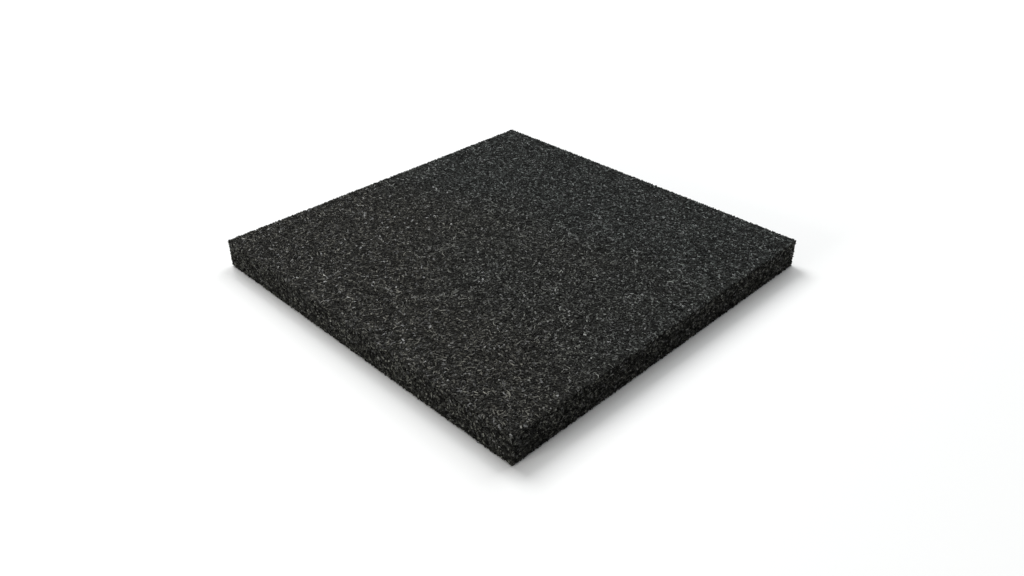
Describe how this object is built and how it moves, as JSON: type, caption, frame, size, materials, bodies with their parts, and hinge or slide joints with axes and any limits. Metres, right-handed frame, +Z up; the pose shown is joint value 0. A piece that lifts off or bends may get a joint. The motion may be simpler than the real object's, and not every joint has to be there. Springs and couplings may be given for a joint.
{
  "type": "anti-vibration mat",
  "caption": "Square flat slab of bonded black rubber crumb, laid under machinery to damp vibration and impact sound.",
  "frame": {"origin": "middle of the underside, on the surface that the mat lies on", "axes": "+Z up through the thickness; the cut edges run along X and Y"},
  "size_m": [0.4, 0.4, 0.03],
  "materials": {
    "crumb_rubber": "matt black shredded and granulated rubber, open grained, with paler worn crumbs and slivers"
  },
  "bodies": {
    "root": {"rubber_mat": "crumb_rubber"}
  },
  "joints": []
}
